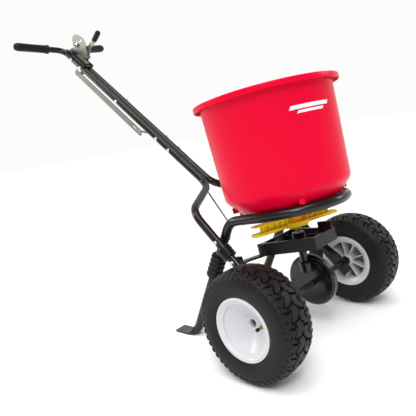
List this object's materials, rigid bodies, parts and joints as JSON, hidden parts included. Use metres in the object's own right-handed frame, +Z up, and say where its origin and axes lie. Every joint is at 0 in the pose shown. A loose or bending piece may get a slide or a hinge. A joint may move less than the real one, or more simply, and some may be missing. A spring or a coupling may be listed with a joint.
{
  "type": "broadcast garden spreader",
  "caption": "Two-wheeled push broadcast spreader with a round hopper on a ring frame, a spinning impeller driven by the axle, a rate lever and a tubular handle.",
  "frame": {"origin": "centre of the parked spreader's box, on the ground", "axes": "+X forward, away from the person who pushes it; +Y to the left wheel; +Z up. Parked on both wheels and both feet, so the hopper leans back 6.7 degrees."},
  "size_m": [0.9985, 0.531, 0.8858],
  "materials": {
    "red_plastic": "glossy crimson red, moulded through",
    "black_paint": "gloss black powder coat",
    "black_plastic": "satin black, moulded",
    "rubber": "matt black",
    "white_plastic": "white, semi-gloss",
    "yellow_plastic": "yellow, semi-gloss",
    "zinc": "zinc plated, slightly yellow",
    "brass": "plain brass",
    "nylon": "natural nylon"
  },
  "bodies": {
    "frame": {"hopper_frame_tube": "black_paint", "left_lower_handle": "black_paint", "right_lower_handle": "black_paint", "left_upper_handle": "black_paint", "right_upper_handle": "black_paint", "left_grip": "rubber", "right_grip": "rubber", "handle_bolt_lower": "zinc", "handle_bolt_joint": "zinc", "handle_bolt_middle": "zinc", "handle_bolt_upper": "zinc", "guide_bolt": "zinc", "left_leg_bolt": "zinc", "right_leg_bolt": "zinc", "left_brace_bolt": "zinc", "right_brace_bolt": "zinc", "crossbrace": "black_plastic", "shaft_bushing": "nylon", "gear_case_left": "black_plastic", "gear_case_right": "black_plastic", "left_axle_bushing": "black_plastic", "right_axle_bushing": "black_plastic", "hopper": "red_plastic", "hopper_bushing": "nylon", "left_plate_guide": "black_plastic", "right_plate_guide": "black_plastic", "rate_bracket": "black_paint", "rate_plate": "zinc", "lever_pivot_bolt": "zinc", "pivot_spacer": "zinc", "right_leg_boot": "rubber", "right_tube_sleeve": "black_plastic"},
    "axle": {"axle": "zinc", "drive_pin": "zinc", "crown_gear": "zinc", "left_tyre": "rubber", "left_rim": "white_plastic", "left_valve_stem": "brass", "left_valve_cap": "black_plastic", "left_axle_retainer": "zinc", "right_axle_retainer": "zinc"},
    "right_wheel": {"right_tyre": "rubber", "right_rim": "white_plastic", "right_valve_stem": "brass", "right_valve_cap": "black_plastic"},
    "impeller": {"impeller_shaft": "zinc", "pinion": "zinc", "impeller": "yellow_plastic", "agitator": "zinc"},
    "rate_lever": {"rate_lever": "zinc", "lever_grip": "rubber", "link_pin": "zinc"},
    "linkage_bar": {"linkage_bar": "zinc"},
    "shutoff_plate": {"shutoff_plate": "zinc"},
    "linkage_rod": {"linkage_rod": "zinc", "rod_collar_front": "zinc", "rod_collar_rear": "zinc"},
    "rate_stop": {"rate_stop_bolt": "zinc", "wing_nut": "zinc"}
  },
  "joints": [
    {"name": "axle_spin", "type": "hinge", "parent": "frame", "child": "axle", "pos_m": [0.3802, 0, 0.1145], "axis": [0, 1, 0], "continuous": true},
    {"name": "right_wheel_spin", "type": "hinge", "parent": "frame", "child": "right_wheel", "pos_m": [0.3802, -0.219, 0.1145], "axis": [0, 1, 0], "continuous": true},
    {"name": "impeller_spin", "type": "hinge", "parent": "frame", "child": "impeller", "pos_m": [0.36304, 0, 0.25999], "axis": [-0.1171, 0, 0.9931], "continuous": true},
    {"name": "rate_lever_turn", "type": "hinge", "parent": "frame", "child": "rate_lever", "pos_m": [-0.37685, 0.024, 0.80297], "axis": [0, -1, 0], "range_deg": [0, 16.26]},
    {"name": "linkage_bar_slide", "type": "slide", "parent": "frame", "child": "linkage_bar", "axis": [0.7648, 0, -0.6443], "range_m": [0, 0.019]},
    {"name": "shutoff_plate_slide", "type": "slide", "parent": "frame", "child": "shutoff_plate", "axis": [0.9931, 0, 0.1171], "range_m": [0, 0.0254]},
    {"name": "linkage_rod_turn", "type": "hinge", "parent": "shutoff_plate", "child": "linkage_rod", "pos_m": [0.21031, 0, 0.26151], "axis": [0, -1, 0], "range_deg": [0, 2.35]},
    {"name": "rate_stop_turn", "type": "hinge", "parent": "frame", "child": "rate_stop", "pos_m": [-0.37685, 0.012, 0.80297], "axis": [0, 1, 0], "range_deg": [0, 31]}
  ],
  "couplings": [
    {"joint": "impeller_spin", "follows": "axle_spin", "ratio": -4},
    {"joint": "linkage_bar_slide", "follows": "rate_lever_turn", "m_per_rad": 0.066775},
    {"joint": "shutoff_plate_slide", "follows": "rate_lever_turn", "m_per_rad": 0.089217},
    {"joint": "linkage_rod_turn", "follows": "rate_lever_turn", "ratio": 0.14442}
  ]
}
